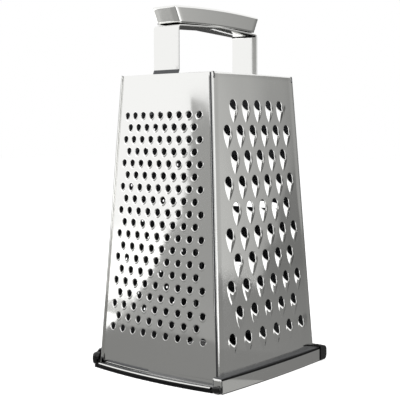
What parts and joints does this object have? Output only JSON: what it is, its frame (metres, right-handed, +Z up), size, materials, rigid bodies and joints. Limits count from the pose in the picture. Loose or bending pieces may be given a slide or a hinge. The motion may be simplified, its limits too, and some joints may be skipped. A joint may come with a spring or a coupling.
{
  "type": "box grater",
  "caption": "Tapered box grater with fine, coarse, slicing and zesting sides, a strap handle with a flared grip, and a black base.",
  "frame": {"origin": "on the ground, at the middle of the base", "axes": "+Z up to the grip; the fine side faces -Y and the coarse side faces +X; the grip runs along Y"},
  "size_m": [0.1178, 0.125, 0.24],
  "materials": {
    "panel_steel": "mirror-polished stainless sheet steel",
    "rim_steel": "mirror-polished stainless sheet steel",
    "handle_steel": "mirror-polished stainless sheet steel",
    "base_plastic": "satin black moulded plastic",
    "cap_plastic": "glossy black moulded plastic"
  },
  "bodies": {
    "root": {"fine_panel": "panel_steel", "coarse_panel": "panel_steel", "slicer_panel": "panel_steel", "zester_panel": "panel_steel", "base_frame": "base_plastic", "rim_band_right": "rim_steel", "rim_band_left": "rim_steel", "rim_bar_back": "rim_steel", "end_plug_right": "cap_plastic", "end_plug_left": "cap_plastic", "bar_cap_right": "cap_plastic", "bar_cap_left": "cap_plastic", "handle_strap": "handle_steel", "grip_cover": "handle_steel"}
  },
  "joints": []
}
